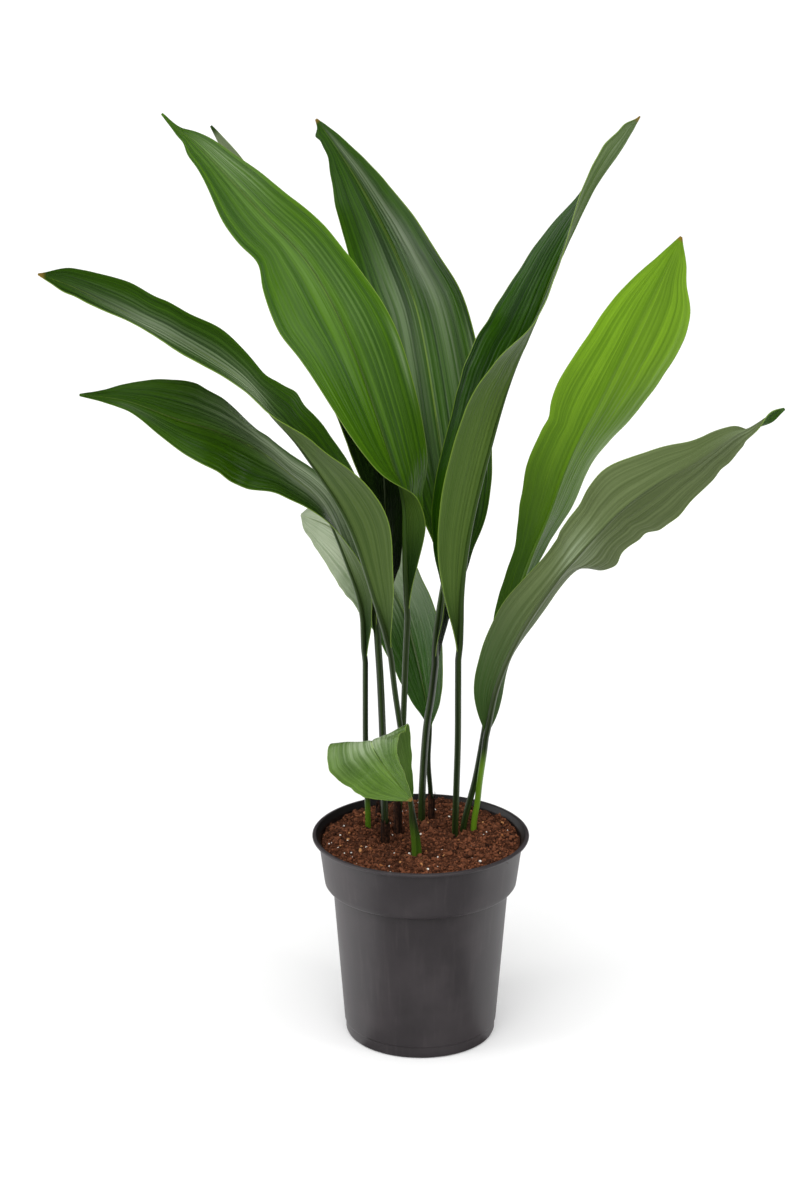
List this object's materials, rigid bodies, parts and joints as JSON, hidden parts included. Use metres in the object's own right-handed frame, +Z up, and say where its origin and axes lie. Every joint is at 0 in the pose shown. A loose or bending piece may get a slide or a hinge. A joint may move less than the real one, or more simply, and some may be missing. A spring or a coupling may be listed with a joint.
{
  "type": "potted cast iron plant",
  "caption": "Broad-leaved house plant: long pleated leaves arch out on slim stalks from potting mix in a round plastic nursery pot.",
  "frame": {"origin": "centre of the pot's flat underside, on the surface that the pot stands on", "axes": "+Z up; +X to the right of the plant as seen from its front; -Y is its front"},
  "size_m": [0.5948, 0.3341, 0.7986],
  "materials": {
    "pot": "satin moulded polypropylene, dark warm grey",
    "potting_mix": "coarse reddish-brown coir and bark crumbs with white perlite",
    "rhizome": "knobbly pale brown root",
    "sheath": "dry dark brown papery scale leaf",
    "stalk": "smooth dark green leaf stalk",
    "blade": "glossy dark green leaf with fine parallel veins, paler matte underside"
  },
  "bodies": {
    "root": {"pot": "pot", "potting_mix": "potting_mix", "rhizome": "rhizome", "dead_stub": "sheath", "sheath_upper_left": "sheath", "sheath_rear_left": "sheath", "sheath_rear_low": "sheath", "stalk_upper_left": "stalk", "stalk_rear_left": "stalk", "stalk_rear_centre": "stalk", "stalk_folded_right": "stalk", "stalk_bright_right": "stalk", "stalk_lower_right": "stalk", "stalk_long_left": "stalk", "stalk_lower_left": "stalk", "stalk_rear_low": "stalk", "stalk_small_front": "stalk", "blade_upper_left": "blade", "blade_rear_left": "blade", "blade_rear_centre": "blade", "blade_folded_right": "blade", "blade_bright_right": "blade", "blade_lower_right": "blade", "blade_long_left": "blade", "blade_lower_left": "blade", "blade_rear_low": "blade", "blade_small_front": "blade"}
  },
  "joints": []
}
